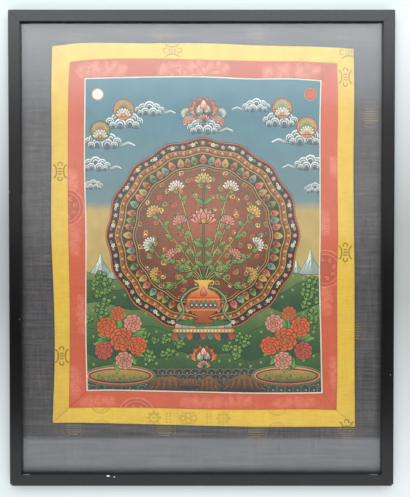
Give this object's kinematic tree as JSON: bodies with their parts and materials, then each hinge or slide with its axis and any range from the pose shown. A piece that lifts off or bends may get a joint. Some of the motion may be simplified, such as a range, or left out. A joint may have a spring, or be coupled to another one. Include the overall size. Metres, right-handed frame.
{
  "type": "thangka scroll painting in a picture frame",
  "caption": "Painted cotton scroll in sewn yellow and red brocade borders, on dark damask, behind glass in a slim black wooden frame.",
  "frame": {"origin": "middle of the frame's back face, on the surface that the framed piece lies on", "axes": "+X across the picture to its right, +Y up the picture, +Z out of its face"},
  "size_m": [0.648, 0.801, 0.024],
  "materials": {
    "black_lacquer": "satin black lacquer",
    "hardboard": "raw hardboard",
    "pane": "clear picture glass",
    "dark_damask": "slubby silk damask, tone on tone",
    "yellow_damask": "silk brocade with an ochre figure",
    "red_damask": "silk brocade with a paler red figure",
    "painted_cotton": "primed cotton under matt mineral paint"
  },
  "bodies": {
    "root": {"frame_rail_top": "black_lacquer", "frame_rail_right": "black_lacquer", "frame_rail_bottom": "black_lacquer", "frame_rail_left": "black_lacquer", "backing_board": "hardboard", "glass_pane": "pane", "damask_ground": "dark_damask", "yellow_border_top": "yellow_damask", "yellow_border_right": "yellow_damask", "yellow_border_bottom": "yellow_damask", "yellow_border_left": "yellow_damask", "red_border_top": "red_damask", "red_border_right": "red_damask", "red_border_bottom": "red_damask", "red_border_left": "red_damask", "painted_canvas": "painted_cotton"}
  },
  "joints": []
}
